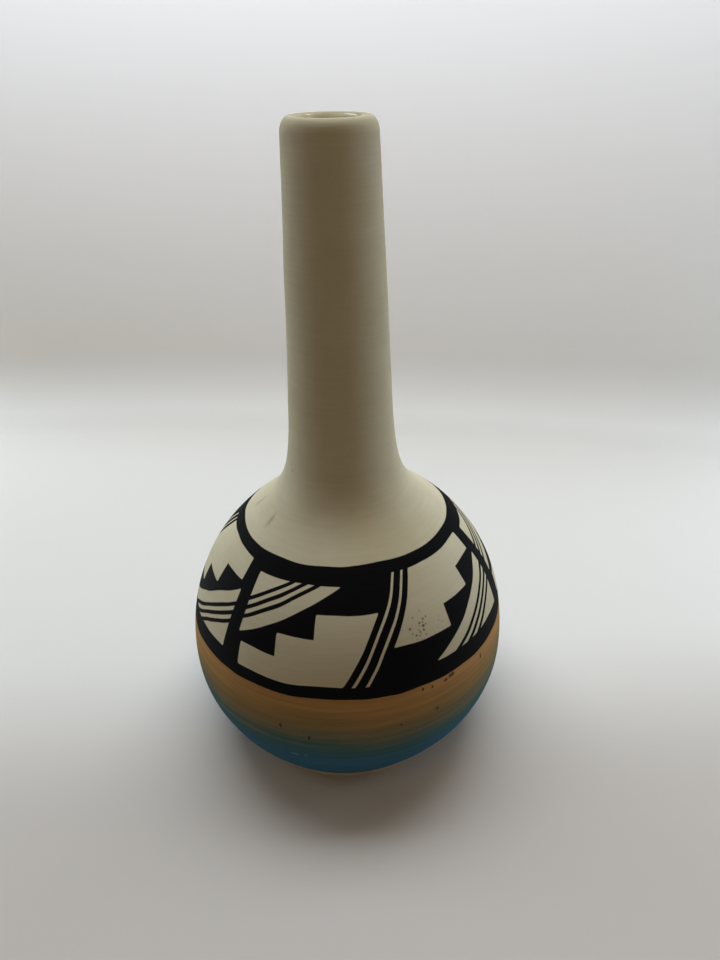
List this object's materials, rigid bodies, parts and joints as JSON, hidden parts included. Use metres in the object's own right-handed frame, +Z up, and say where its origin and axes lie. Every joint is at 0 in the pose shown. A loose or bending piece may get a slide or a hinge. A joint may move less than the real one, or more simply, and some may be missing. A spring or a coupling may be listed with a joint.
{
  "type": "vase",
  "caption": "Bottle vase with a round hollow globe, a long tapering neck with a rounded lip, a low bare foot ring and a glazed lining, painted with matte slips.",
  "frame": {"origin": "centre of the foot ring's flat underside, where the vase stands", "axes": "+Z up along the neck's axis; the vase is round about Z, and the seen side faces -Y"},
  "size_m": [0.138, 0.138, 0.254],
  "materials": {
    "slip_painted_clay": "matte unglazed earthenware painted with cream, black, orange and blue slips",
    "bare_clay": "matte bare clay, wiped at the foot",
    "clear_glaze": "glossy clear glaze over cream clay"
  },
  "bodies": {
    "root": {"foot_ring": "bare_clay", "globe_bowl": "slip_painted_clay", "globe_shoulder": "slip_painted_clay", "neck_tube": "slip_painted_clay", "glaze_lining": "clear_glaze"}
  },
  "joints": []
}
